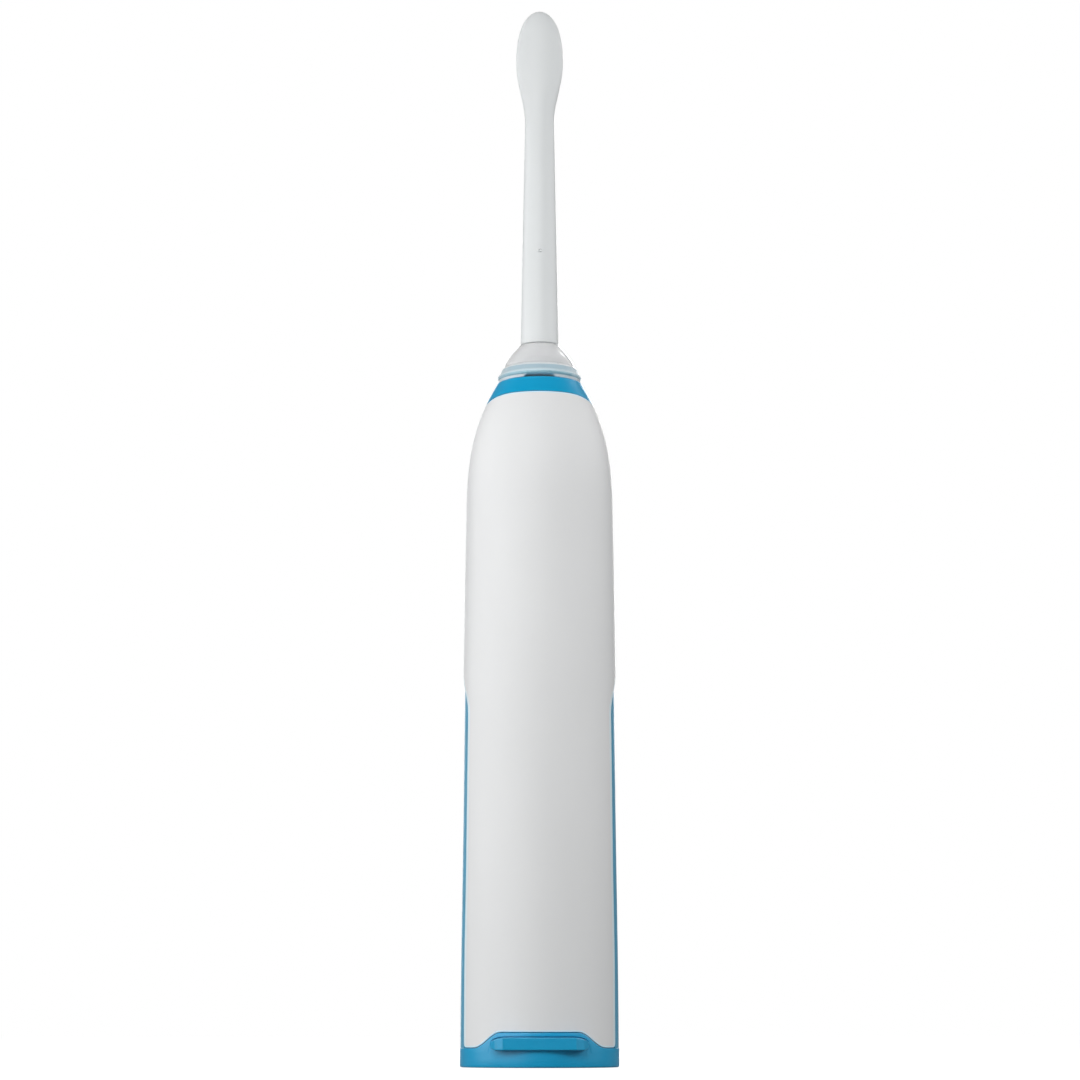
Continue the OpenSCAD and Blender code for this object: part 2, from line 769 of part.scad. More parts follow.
housing();
rear_cover();
front_cover();
side_grip_left();
side_grip_right();
front_grip();
button_bezel();
led_lens();
threaded_nose();
nose_seal();
chassis();
stator_core();
stator_bobbin();
drive_coil();
circuit_board();
board_components();
tact_switch();
status_led();
battery_cells();
battery_tabs();
battery_pad();
charge_bobbin();
charge_coil();
wiring();
chassis_screws();
hub_cone();
pivot_pin();
stem_seal();
head_nut();
brush_arm();
pivot_shaft();
tuft_plate();
bristles_outer();
bristles_inner();
magnet_yoke();
drive_magnets();
power_button();
switch_plunger();
end_cap();
cap_seal();
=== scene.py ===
"""Looks of the sonic electric toothbrush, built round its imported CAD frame.

Shapes are worked out in millimetres in the CAD's own axes (+Z up the handle, bristles and
power button towards +Y, thumb lug towards -Y) and become metres when a mesh is made.
"""

import json
import math
import random

import bmesh
import bpy
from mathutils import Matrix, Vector

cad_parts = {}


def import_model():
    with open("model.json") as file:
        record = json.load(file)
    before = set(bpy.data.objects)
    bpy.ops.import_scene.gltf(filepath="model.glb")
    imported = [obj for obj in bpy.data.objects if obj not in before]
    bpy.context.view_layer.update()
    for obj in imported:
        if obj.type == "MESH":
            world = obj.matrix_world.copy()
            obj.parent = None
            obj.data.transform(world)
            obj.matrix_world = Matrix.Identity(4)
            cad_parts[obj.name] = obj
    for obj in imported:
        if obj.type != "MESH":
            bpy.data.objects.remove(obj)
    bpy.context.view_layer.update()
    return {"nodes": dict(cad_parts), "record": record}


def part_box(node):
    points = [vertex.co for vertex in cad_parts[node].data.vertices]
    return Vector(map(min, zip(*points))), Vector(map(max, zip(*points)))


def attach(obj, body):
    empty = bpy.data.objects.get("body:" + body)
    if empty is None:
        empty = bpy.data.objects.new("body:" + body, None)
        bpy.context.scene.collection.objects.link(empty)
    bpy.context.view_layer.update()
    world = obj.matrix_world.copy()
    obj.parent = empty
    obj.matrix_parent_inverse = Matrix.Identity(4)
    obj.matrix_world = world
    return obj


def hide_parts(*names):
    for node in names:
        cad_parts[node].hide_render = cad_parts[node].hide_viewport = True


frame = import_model()

MM = 0.001
WELD = 1e-7  # metres: points closer than this are one
SPECK = 1e-12  # square metres: faces smaller than this are faults of a cut
SEED = 7
random.seed(SEED)


# ---------------------------------------------------------------- sizes, in millimetres

def corners(node):
    """Lowest and highest corner of a CAD node."""
    low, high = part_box(node)
    return low / MM, high / MM


NECK_Z = corners("housing")[1].z
HOUSING_Z = corners("housing")[0].z
BASE_R = corners("end_cap")[1].x + 0.05
COVER_Z = corners("rear_cover")[0].z
COVER_TOP_Z = corners("rear_cover")[1].z
GRIP_Y = corners("side_grip_right")[1].y + 0.1
GRIP_TOP_Z = corners("side_grip_right")[1].z + 0.1
LUG_Y = -corners("end_cap")[0].y
SHOULDER_Z = NECK_Z - 30.5
BUTTON_Z = (corners("power_button")[0].z + corners("power_button")[1].z) / 2
BUTTON_R = corners("power_button")[1].x
STEM_Z = corners("brush_arm")[0].z
STEM_R = corners("brush_arm")[1].y
TIP_Z = corners("brush_arm")[1].z + 0.05
PLATE_W = corners("brush_arm")[1].x
PAD_LOW, PAD_HIGH = corners("front_grip")
LED_Z = (corners("led_lens")[0].z + corners("led_lens")[1].z) / 2
LED_R = corners("led_lens")[1].x

WAIST_DROP, WAIST_POWER = 1.1, 1.9
SHOULDER_DROP, SHOULDER_POWER = 6.9, 2.7
COVER_T = 1.3
WALL_T = 1.5
FIT_GAP = 0.1
TOP_DIP = 1.35
EDGE_BAND = 0.32
EDGE_ROUND = 0.18
SHARP_ANGLE = 35  # degrees
GRIP_POINT = 10
GRIP_FOOT_Y = 6.2
GRIP_WIDEN_Z = (20, 50)
CUT_FROM_Y, CUT_TO_Y = 5, 30
HUMP_H = 3.5
HUMP_X0, HUMP_X1 = 8.95, 15.05
CAP_SPLIT = 0.14
LUG_HALF = 11.2
THREAD_PITCH = 2
THREAD_TURNS = 1.2
THREAD_FOOT_Z = NECK_Z + 0.75
NUT_TURNED = 216  # degrees that the nut's thread is turned from the nose's
ARM_FOOT_Z = STEM_Z - 0.5
THIN_Z = 225
NECK_W, NECK_D = 3.48, 2.7
PLATE_D = 2.2
PLATE_MID_Z = TIP_Z - 13.5


def mix(a, b, t):
    return a + (b - a) * t


def clamp(t, low=0.0, high=1.0):
    return max(low, min(high, t))


def smooth(t):
    t = clamp(t)
    return t * t * (3 - 2 * t)


def spread(count, low, high, crowd=0.35):
    """Numbers from low to high, closer together near both ends."""
    steps = [2 * i / (count - 1) - 1 for i in range(count)]
    return [mix(low, high, (t * (1 + crowd - crowd * t * t) + 1) / 2) for t in steps]


def body_r(z):
    """Radius of the handle's outer surface."""
    r = BASE_R - WAIST_DROP * (max(z, 0) / SHOULDER_Z) ** WAIST_POWER
    if z > SHOULDER_Z:
        r -= SHOULDER_DROP * ((z - SHOULDER_Z) / (NECK_Z - SHOULDER_Z)) ** SHOULDER_POWER
    return r


def grip_half_width(z):
    """Half width of a side grip in y: it widens upwards, then comes to a point."""
    low, high = GRIP_WIDEN_Z
    half = mix(GRIP_FOOT_Y, GRIP_Y, smooth((z - low) / (high - low)))
    t = clamp((z - (GRIP_TOP_Z - GRIP_POINT)) / GRIP_POINT)
    return half * math.cos(math.pi / 2 * t)


def hump_rise(x):
    """Height of the end cap's hump above the covers' straight lower edge."""
    return HUMP_H * smooth((HUMP_X1 - abs(x)) / (HUMP_X1 - HUMP_X0))


def top_dip(angle):
    """How far the covers' top edge dips towards the sides of the handle."""
    return TOP_DIP * abs(math.sin(angle)) ** 6


# ---------------------------------------------------------------- mesh helpers

def make_object(name, verts, faces, material):
    """A smooth-shaded object from millimetre points, with clean, outward-facing faces."""
    mesh = bpy.data.meshes.new(name)
    mesh.from_pydata([(x * MM, y * MM, z * MM) for x, y, z in verts], [], faces)
    bm = bmesh.new()
    bm.from_mesh(mesh)
    bmesh.ops.remove_doubles(bm, verts=bm.verts, dist=1e-7)
    bmesh.ops.dissolve_degenerate(bm, edges=bm.edges, dist=1e-7)
    bmesh.ops.recalc_face_normals(bm, faces=bm.faces)
    for face in bm.faces:
        face.smooth = True
    bm.to_mesh(mesh)
    bm.free()
    mesh.materials.append(material)
    obj = bpy.data.objects.new(name, mesh)
    bpy.context.scene.collection.objects.link(obj)
    return obj


def settle(obj):
    """Applies an object's modifiers to its mesh."""
    bpy.context.view_layer.update()
    evaluated = obj.evaluated_get(bpy.context.evaluated_depsgraph_get())
    mesh = bpy.data.meshes.new_from_object(evaluated)
    mesh.name = obj.name
    obj.modifiers.clear()
    obj.data = mesh
    return obj


def soften(obj, width, segments=3, angle=40, edge_slot=-1):
    """Rounds the hard edges; edge_slot is the material index of the rounded faces."""
    bevel = obj.modifiers.new("round", "BEVEL")
    bevel.width = width * MM
    bevel.segments = segments
    bevel.limit_method = "ANGLE"
    bevel.angle_limit = math.radians(angle)
    bevel.use_clamp_overlap = True
    bevel.material = edge_slot
    normals = obj.modifiers.new("normals", "WEIGHTED_NORMAL")
    normals.keep_sharp = True
    return settle(obj)


def drop_slivers(mesh):
    """Takes out the folded faces and faces of no area that a cut can leave behind."""
    bm = bmesh.new()
    bm.from_mesh(mesh)
    bmesh.ops.remove_doubles(bm, verts=bm.verts, dist=WELD)
    bmesh.ops.dissolve_degenerate(bm, edges=bm.edges, dist=WELD)
    bmesh.ops.triangulate(bm, faces=[face for face in bm.faces if len(face.verts) > 4])
    stray = [face for face in bm.faces if face.calc_area() < SPECK
             and any(len(edge.link_faces) > 2 for edge in face.edges)]
    bmesh.ops.delete(bm, geom=stray, context="FACES")
    bm.verts.index_update()
    same = {}
    for face in bm.faces:
        same.setdefault(frozenset(vert.index for vert in face.verts), []).append(face)
    folded = [face for group in same.values() if len(group) > 1 for face in group]
    bmesh.ops.delete(bm, geom=folded, context="FACES")
    bm.to_mesh(mesh)
    bm.free()


def cut(obj, *cutters):
    """Takes the cutters' shapes out of an object, and removes the cutters."""
    for cutter in cutters:
        hole = obj.modifiers.new("cut", "BOOLEAN")
        hole.operation = "DIFFERENCE"
        hole.solver = "EXACT"
        hole.object = cutter
    settle(obj)
    if "custom_normal" in obj.data.attributes:
        obj.data.attributes.remove(obj.data.attributes["custom_normal"])
    drop_slivers(obj.data)
    obj.data.set_sharp_from_angle(angle=math.radians(SHARP_ANGLE))
    normals = obj.modifiers.new("normals", "WEIGHTED_NORMAL")
    normals.keep_sharp = True
    settle(obj)
    for cutter in cutters:
        bpy.data.objects.remove(cutter)
    return obj


def grid_faces(rows, columns, closed=False, first=0):
    """Quads of a grid of points; closed joins the last column to the first."""
    faces = []
    for i in range(rows - 1):
        for j in range(columns if closed else columns - 1):
            a = first + i * columns + j
            b = first + i * columns + (j + 1) % columns
            faces.append((a, b, b + columns, a + columns))
    return faces


def slab(name, outer, inner, rows, columns, material):
    """Closed shell between two grids of points with the same rows and columns."""
    faces = grid_faces(rows, columns)
    back = rows * columns
    faces += [tuple(back + k for k in reversed(f)) for f in faces]
    rim = list(range(columns))
    rim += [i * columns + columns - 1 for i in range(1, rows)]
    rim += [(rows - 1) * columns + j for j in range(columns - 2, -1, -1)]
    rim += [i * columns for i in range(rows - 2, 0, -1)]
    for k, a in enumerate(rim):
        b = rim[(k + 1) % len(rim)]
        faces.append((a, back + a, back + b, b))
    return make_object(name, outer + inner, faces, material)


def paint_by_height(obj, *bands):
    """Gives faces above each height, in rising order, a material of their own."""
    for height, name in bands:
        obj.data.materials.append(MATERIALS[name])
        index = len(obj.data.materials) - 1
        for face in obj.data.polygons:
            if face.center.z > height * MM:
                face.material_index = index


def arc(centre, radius, start, end):
    """Points round a centre in r and z, angles in degrees."""
    steps = 5
    angles = [math.radians(mix(start, end, i / steps)) for i in range(steps + 1)]
    return [(centre[0] + radius * math.cos(a), centre[1] + radius * math.sin(a)) for a in angles]


def rounded(outline, steps=4):
    """A closed outline of (r, z, fillet) corners as points, with round corners."""
    points = []
    for k, (r, z, fillet) in enumerate(outline):
        here = Vector((r, z))
        if fillet <= 0:
            points.append((r, z))
            continue
        before = (Vector(outline[k - 1][:2]) - here).normalized()
        after = (Vector(outline[(k + 1) % len(outline)][:2]) - here).normalized()
        half = before.angle(after) / 2
        reach = fillet / math.tan(half)
        start, end = here + before * reach, here + after * reach
        for i in range(steps + 1):
            t = i / steps
            point = start * (1 - t) ** 2 + here * 2 * t * (1 - t) + end * t ** 2
            points.append((point.x, point.y))
    return points


def lathe(name, outline, material, sides):
    """Solid of revolution; outline is a closed list of (r, z), or a function of the angle."""
    shape = outline if callable(outline) else lambda angle: outline
    seam = shape(0)
    rings = len(seam)
    verts = []
    for j in range(sides):
        angle = 2 * math.pi * j / sides
        for r, z in shape(angle):
            verts.append((max(r, 0) * math.sin(angle), -max(r, 0) * math.cos(angle), z))
    faces = []
    for j in range(sides):
        for i in range(rings):
            a, b = j * rings + i, j * rings + (i + 1) % rings
            c, d = (j + 1) % sides * rings + (i + 1) % rings, (j + 1) % sides * rings + i
            if seam[i][0] > 0 or seam[(i + 1) % rings][0] > 0:
                faces.append((a, b, c, d))
    return make_object(name, verts, faces, material)


def loops_solid(name, loops, material):
    """Closed solid through loops of points, with a flat face at both ends."""
    count = len(loops[0])
    verts = [p for loop in loops for p in loop]
    faces = grid_faces(len(loops), count, closed=True)
    faces.append(tuple(range(count - 1, -1, -1)))
    faces.append(tuple((len(loops) - 1) * count + j for j in range(count)))
    return make_object(name, verts, faces, material)


def rod_cutter(name, r, z, slot):
    """Round bar along Y that cuts a hole in the handle's front."""
    sides = 48
    ring = [(r * math.cos(2 * math.pi * j / sides), r * math.sin(2 * math.pi * j / sides))
            for j in range(sides)]
    loops = [[(x, y, z + up) for x, up in ring] for y in (CUT_FROM_Y, CUT_TO_Y)]
    return loops_solid(name, loops, MATERIALS[slot])


def place(obj, body, slot, *nodes):
    """Puts a piece on its body, in place of its CAD nodes; slot is not used."""
    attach(obj, body)
    if nodes:
        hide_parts(*nodes)
    return obj


# ---------------------------------------------------------------- materials

class Finish:
    """A Principled material whose nodes are added step by step."""

    def __init__(self, name, colour, roughness, **sockets):
        self.material = bpy.data.materials.new(name)
        self.material.use_nodes = True
        self.tree = self.material.node_tree
        self.shader = self.tree.nodes["Principled BSDF"]
        self.shader.inputs["Base Color"].default_value = (*colour, 1)
        self.shader.inputs["Roughness"].default_value = roughness
        for socket, value in sockets.items():
            self.shader.inputs[socket.replace("_", " ")].default_value = value
        self.coords = self.add("ShaderNodeTexCoord").outputs["Object"]
        self.colour = colour
        self.roughness = roughness

    def add(self, kind, **settings):
        node = self.tree.nodes.new(kind)
        for key, value in settings.items():
            if key in node.inputs:
                node.inputs[key].default_value = value
            else:
                setattr(node, key, value)
        return node

    def link(self, source, target):
        self.tree.links.new(source, target)

    def noise(self, size, detail, stretch=(1, 1, 1)):
        """Noise whose features are about size millimetres across, from 0 to 1."""
        mapping = self.add("ShaderNodeMapping")
        mapping.inputs["Scale"].default_value = stretch
        self.link(self.coords, mapping.inputs["Vector"])
        node = self.add("ShaderNodeTexNoise", Scale=1 / (size * MM), Detail=detail)
        self.link(mapping.outputs["Vector"], node.inputs["Vector"])
        return node.outputs["Fac"]

    def bands(self, width, direction, distortion):
        """Even bands width millimetres apart along an axis."""
        node = self.add("ShaderNodeTexWave", bands_direction=direction, wave_profile="SIN",
                        Scale=math.pi / (10 * width * MM), Distortion=distortion)
        self.link(self.coords, node.inputs["Vector"])
        return node.outputs["Fac"]

    def ramp(self, value, low, high, out_low=0.0, out_high=1.0):
        node = self.add("ShaderNodeMapRange")
        for socket, number in zip(("From Min", "From Max", "To Min", "To Max"),
                                  (low, high, out_low, out_high)):
            node.inputs[socket].default_value = number
        self.link(value, node.inputs["Value"])
        return node.outputs["Result"]

    def tint(self, value, other, low=0.3, high=0.7):
        """Mixes the base colour towards another one by a value."""
        node = self.add("ShaderNodeMix", data_type="RGBA")
        colour_a = [s for s in node.inputs if s.type == "RGBA"]
        colour_a[0].default_value = (*self.colour, 1)
        colour_a[1].default_value = (*other, 1)
        self.link(self.ramp(value, low, high), node.inputs["Factor"])
        result = [s for s in node.outputs if s.type == "RGBA"][0]
        self.link(result, self.shader.inputs["Base Color"])
        return self

    def vary_roughness(self, value, spread_by):
        self.link(self.ramp(value, 0.25, 0.75, self.roughness - spread_by,
                            self.roughness + spread_by), self.shader.inputs["Roughness"])
        return self

    def bump(self, value, height, strength):
        """Bump from a value; height in millimetres."""
        node = self.add("ShaderNodeBump", Strength=strength, Distance=height * MM)
        self.link(value, node.inputs["Height"])
        if self.shader.inputs["Normal"].is_linked:
            earlier = self.shader.inputs["Normal"].links[0].from_socket
            self.link(earlier, node.inputs["Normal"])
        self.link(node.outputs["Normal"], self.shader.inputs["Normal"])
        return self


def shade(colour, factor):
    return tuple(clamp(c * factor) for c in colour)


def moulded(name, colour, roughness, mottle=0.975, texture=0.006, **sockets):
    """Injection-moulded plastic: faint flow mottle, fine spark-eroded texture."""
    finish = Finish(name, colour, roughness, **sockets)
    finish.tint(finish.noise(14, 2, (1, 1, 0.35)), shade(colour, mottle))
    finish.vary_roughness(finish.noise(1.6, 4), 0.05)
    finish.bump(finish.noise(0.22, 4), texture, 0.35)
    return finish.material


def elastomer(name, colour, roughness=0.55, sheen=0.15):
    """Soft-touch rubber: matt, with a fine pebble."""
    finish = Finish(name, colour, roughness, Sheen_Weight=sheen, Sheen_Roughness=0.5)
    finish.tint(finish.noise(6, 3), shade(colour, 0.9))
    finish.vary_roughness(finish.noise(0.8, 3), 0.06)
    finish.bump(finish.noise(0.16, 2), 0.012, 0.5)
    return finish.material


def clear_plastic(name, colour, roughness, transmission, **sockets):
    """Clear moulded plastic, slightly frosted in patches."""
    finish = Finish(name, colour, roughness, Transmission_Weight=transmission, IOR=1.49, **sockets)
    finish.tint(finish.noise(5, 2), shade(colour, 0.96))
    finish.vary_roughness(finish.noise(1.2, 3), 0.04)
    finish.bump(finish.noise(2.5, 2), 0.01, 0.3)
    return finish.material


def see_through(name, colour, roughness, alpha, edge_alpha):
    """Thin clear plastic: it covers what lies behind it more where it is seen edge on."""
    finish = Finish(name, colour, roughness, IOR=1.58, Specular_IOR_Level=0.8,
                    Sheen_Weight=0.6, Sheen_Roughness=0.35)
    slope = finish.add("ShaderNodeLayerWeight", Blend=0.5)
    cover_by = finish.ramp(slope.outputs["Facing"], 0.25, 0.85, alpha, edge_alpha)
    finish.link(cover_by, finish.shader.inputs["Alpha"])
    finish.tint(finish.noise(3, 2), shade(colour, 0.95))
    finish.vary_roughness(finish.noise(0.9, 3), 0.05)
    finish.bump(finish.noise(1.5, 2), 0.008, 0.3)
    return finish.material


def metal(name, colour, roughness=0.3, stretch=(1, 1, 12)):
    """Drawn or brushed metal with fine lines across its stretch."""
    finish = Finish(name, colour, roughness, Metallic=1.0)
    lines = finish.noise(0.5, 3, stretch)
    finish.tint(lines, shade(colour, 0.8))
    finish.vary_roughness(lines, 0.1)
    finish.bump(lines, 0.004, 0.5)
    return finish.material


def banded(name, colour, other, width, direction, height, roughness, **sockets):
    """Layers or turns side by side, such as windings and laminations."""
    finish = Finish(name, colour, roughness, **sockets)
    lines = finish.bands(width, direction, distortion=0.15)
    finish.tint(lines, other, 0.2, 0.8)
    finish.vary_roughness(finish.noise(1, 3), 0.06)
    finish.bump(lines, height, 0.8)
    return finish.material


def circuit_mask(name, colour):
    """Solder mask with lighter copper runs showing through."""
    finish = Finish(name, colour, 0.32, Coat_Weight=0.3, Coat_Roughness=0.2)
    cells = finish.add("ShaderNodeTexVoronoi", feature="DISTANCE_TO_EDGE", distance="MANHATTAN",
                       Scale=1 / (2.6 * MM))
    finish.link(finish.coords, cells.inputs["Vector"])
    runs = finish.ramp(cells.outputs["Distance"], 0.06, 0.1, 1, 0)
    finish.tint(runs, (0.10, 0.42, 0.22), 0, 1)
    finish.vary_roughness(finish.noise(0.7, 3), 0.05)
    finish.bump(runs, 0.03, 0.6)
    return finish.material


def filament(name, colour):
    """Nylon bristle filaments, with faint darker streaks along their length."""
    finish = Finish(name, colour, 0.32, Subsurface_Weight=0.1, Subsurface_Radius=(1, 1, 1),
                    Subsurface_Scale=0.3 * MM)
    finish.tint(finish.noise(0.4, 2, (1, 0.1, 1)), shade(colour, 0.88))
    finish.bump(finish.noise(0.1, 2, (1, 0.05, 1)), 0.004, 0.4)
    return finish.material


WHITE = (0.81, 0.817, 0.822)
BLUE = (0.0, 0.355, 0.64)

MATERIALS = {
    "white_shell": moulded("white_shell", WHITE, 0.5, Specular_IOR_Level=0.35),
    # Painted highlights, not the plastic's own colour: a pale band beside the grips, and a paler
    # line with a faint glow along the covers' top, bottom and rounded edges.
    "painted_side_highlight": moulded("painted_side_highlight", (0.80, 0.91, 0.96), 0.4),
    "painted_edge_highlight": moulded("painted_edge_highlight", (0.68, 0.87, 0.97), 0.35,
                        Emission_Color=(0.45, 0.80, 1.0, 1), Emission_Strength=0.06),
    "blue_plastic": moulded("blue_plastic", BLUE, 0.34, 0.95, Specular_IOR_Level=0.6,
                            Sheen_Weight=0.15, Sheen_Roughness=0.4),
    "blue_grip": elastomer("blue_grip", (0.01, 0.36, 0.60), 0.4, 0.35),
    # The collar's clear plastic and copies of it painted by height: the lighter copies are painted
    # highlights on the rim and lips, and the darker copy is painted shade on the foot.
    "ice_clear": see_through("ice_clear", (0.64, 0.84, 0.94), 0.34, 0.6, 0.65),
    "ice_rim_highlight": see_through("ice_rim_highlight", (0.72, 0.88, 0.94), 0.34, 0.8, 0.6),
    "ice_foot_shade": see_through("ice_foot_shade", (0.32, 0.60, 0.72), 0.3, 0.7, 0.5),
    "ice_lip_highlight": see_through("ice_lip_highlight", (0.88, 0.92, 0.94), 0.3, 0.85, 0.7),
    "ice_cone": see_through("ice_cone", (0.92, 0.93, 0.94), 0.13, 0.4, 0.7),
    "head_white": moulded("head_white", (0.762, 0.786, 0.792), 0.42, 0.985,
                          Specular_IOR_Level=0.4),
    "cone_white": moulded("cone_white", (0.93, 0.93, 0.94), 0.45),
    "button_grey": elastomer("button_grey", (0.60, 0.64, 0.67)),
    "bezel_silver": moulded("bezel_silver", (0.55, 0.60, 0.64), 0.28),
    "lens_clear": clear_plastic("lens_clear", (0.93, 0.97, 1.0), 0.12, 0.7),
    "black_rubber": elastomer("black_rubber", (0.012, 0.015, 0.018)),
    "nose_grey": moulded("nose_grey", (0.30, 0.55, 0.70), 0.4),
    "frame_nylon": moulded("frame_nylon", (0.62, 0.61, 0.55), 0.5, 0.9, 0.015),
    "core_steel": banded("core_steel", (0.16, 0.17, 0.19), (0.06, 0.06, 0.07), 0.35, "Y", 0.02,
                         0.45, Metallic=0.8),
    "steel": metal("steel", (0.62, 0.64, 0.66)),
    "copper_wire": banded("copper_wire", (0.62, 0.24, 0.08), (0.28, 0.09, 0.03), 0.22, "Z", 0.06,
                          0.3, Metallic=0.7, Coat_Weight=0.5),
    "board": circuit_mask("board", (0.02, 0.16, 0.08)),
    "chip_black": moulded("chip_black", (0.02, 0.022, 0.025), 0.5),
    "led_white": moulded("led_white", (0.85, 0.82, 0.62), 0.35),
    "cell_wrap": banded("cell_wrap", (0.03, 0.28, 0.16), (0.05, 0.40, 0.24), 8, "Z", 0.01, 0.25,
                        Coat_Weight=0.4),
    "nickel": metal("nickel", (0.66, 0.64, 0.58), 0.35, (12, 1, 1)),
    "foam": elastomer("foam", (0.05, 0.055, 0.06), 0.85),
    "lead": elastomer("lead", (0.50, 0.02, 0.02), 0.4),
    "bristle_white": filament("bristle_white", (0.94, 0.95, 0.95)),
    "bristle_blue": filament("bristle_blue", (0.05, 0.44, 0.74)),
    "magnet": metal("magnet", (0.50, 0.51, 0.53), 0.22, (1, 1, 1)),
}


def dress_cad_nodes():
    """Gives every CAD node the material of its finish slot."""
    for row in frame["record"]["subparts"]:
        obj = frame["nodes"][row["node"]]
        obj.data.materials.clear()
        obj.data.materials.append(MATERIALS[row["material_slot"]])


# ---------------------------------------------------------------- handle

def cover_points(side, depth, rows, columns):
    """Grid of a cover's surface, depth below the handle's surface."""
    corner, top_corner = 1.2, 0.8
    points = [[None] * columns for _ in range(rows)]
    for j, u in enumerate(spread(columns, -1, 1)):
        foot_angle = math.acos(GRIP_FOOT_Y / BASE_R)
        x = BASE_R * math.sin(foot_angle * u)
        from_edge = BASE_R * foot_angle * (1 - abs(u))
        low = COVER_Z + (hump_rise(x) if side < 0 else 0)
        low += corner - math.sqrt(corner ** 2 - max(corner - from_edge, 0) ** 2)
        r = body_r(COVER_TOP_Z)
        top = COVER_TOP_Z - top_dip(math.pi / 2 * u)
        from_side = r * math.pi / 2 * (1 - abs(u))
        top -= top_corner - math.sqrt(top_corner ** 2 - max(top_corner - from_side, 0) ** 2)
        levels = [low] + spread(rows - 2, low + EDGE_BAND, top - EDGE_BAND) + [top]
        for i, z in enumerate(levels):
            edge_y = grip_half_width(z) if z < GRIP_TOP_Z else FIT_GAP / 2
            angle = math.acos(clamp(max(edge_y, FIT_GAP / 2) / body_r(z))) * u
            r = body_r(z) - depth
            points[i][j] = (r * math.sin(angle), side * r * math.cos(angle), z)
    return [p for row in points for p in row]


def cover(side, name):
    """White half shell, with a painted highlight beside the grips and a painted, faintly glowing
    highlight along its top and bottom edges.
    """
    rows, columns = 110, 65
    white, side_highlight, edge_highlight = 0, 1, 2
    side_highlight_width, seam_half = 1.0, 1
    last_row, first_inner = (rows - 2) * (columns - 1), (rows - 1) * (columns - 1)
    shell = slab(name, cover_points(side, 0, rows, columns),
                 cover_points(side, COVER_T, rows, columns), rows, columns,
                 MATERIALS["white_shell"])
    shell.data.materials.append(MATERIALS["painted_side_highlight"])
    shell.data.materials.append(MATERIALS["painted_edge_highlight"])
    # Painted highlight: the first and last rows of the outer face take the glowing edge highlight,
    # and the faces beside the grips take the pale side highlight.
    for face in shell.data.polygons:
        _, y, z = face.center / MM
        if face.index < columns - 1 or last_row <= face.index < first_inner:
            face.material_index = edge_highlight
        elif z < GRIP_TOP_Z and abs(y) < grip_half_width(z) + side_highlight_width:
            face.material_index = side_highlight
    # The rounded edge faces take the painted, glowing edge highlight as well.
    soften(shell, EDGE_ROUND, 3, SHARP_ANGLE, edge_highlight)
    # The seam above the grips is rounded too, but stays white.
    for face in shell.data.polygons:
        _, y, z = face.center / MM
        if GRIP_TOP_Z < z < COVER_TOP_Z - 2.2 and abs(y) < seam_half:
            face.material_index = white
    return shell


def rear_cover():
    return place(cover(-1, "rear_shell"), "handle", "white_shell", "rear_cover")


def front_cover():
    """Front half shell, with a recess for the pad and holes for the button and light."""
    shell = cover(1, "front_shell")
    pad = pad_solid("pad_cutter", 0.0, -0.65, 1.0, MATERIALS["white_shell"])
    button = rod_cutter("button_cutter", BUTTON_R + 1, BUTTON_Z, "white_shell")
    light = rod_cutter("light_cutter", LED_R + FIT_GAP, LED_Z, "white_shell")
    return place(cut(shell, pad, button, light), "handle", "white_shell", "front_cover")


def side_grip(sign, name, node):
    """Soft strip in a side channel, crowned along its middle."""
    rows, columns = 90, 25
    foot_recess, recess_above = 0.16, 0.44
    low, high = COVER_Z - FIT_GAP, GRIP_TOP_Z - 2 * FIT_GAP
    outer, inner = [], []
    for z in spread(rows, low, high):
        half = max(grip_half_width(z + FIT_GAP) - FIT_GAP, 0.12)
        recess = mix(foot_recess, recess_above, smooth((z - 8) / 55))
        for u in spread(columns, -1, 1):
            y = half * u
            for points, r in ((outer, body_r(z) - recess), (inner, body_r(z) - COVER_T)):
                points.append((sign * math.sqrt(r * r - y * y), y, z))
    strip = slab(name, outer, inner, rows, columns, MATERIALS["blue_grip"])
    return place(soften(strip, EDGE_ROUND), "handle", "blue_grip", node)


def pad_half_width(z, z0, z1, r):
    """Half width of a strip with round ends."""
    from_end = min(z - z0, z1 - z)
    return r if from_end >= r else math.sqrt(max(r * r - (r - from_end) ** 2, 0.01))


def pad_solid(name, gap, low_off, high_off, material, ribs=0):
    """Round-ended pad wrapped on the front of the handle, with cross ribs if asked."""
    rows, columns = 260 if ribs else 90, 21
    z0, z1 = PAD_LOW.z - FIT_GAP + gap, PAD_HIGH.z + FIT_GAP - gap
    r = PAD_HIGH.x + FIT_GAP - gap
    rib_h, rib_half, end_gap = 0.33, 1.15, 6
    first, step = z0 + end_gap, (z1 - z0 - 2 * end_gap) / max(ribs - 1, 1)
    outer, inner = [], []
    for z in spread(rows, z0, z1, 0.2):
        half = pad_half_width(z, z0, z1, r)
        for u in spread(columns, -1, 1):
            x = half * u
            lift = high_off
            if ribs:
                near = min(abs(z - first - i * step) for i in range(ribs))
                across = smooth((r - 1.6 - abs(x)) / 1.2)
                lift += rib_h * across * smooth((rib_half - near) / 0.7)
            for points, off in ((outer, lift), (inner, low_off)):
                reach = body_r(z) + off
                points.append((x, math.sqrt(reach ** 2 - x * x), z))
    return slab(name, outer, inner, rows, columns, material)


def front_grip():
    """Soft pad with cross ribs, set in the front cover."""
    pad = pad_solid("ribbed_grip", FIT_GAP, -0.6, 0.4, MATERIALS["blue_grip"], ribs=13)
    return place(soften(pad, 0.2), "handle", "blue_grip", "front_grip")


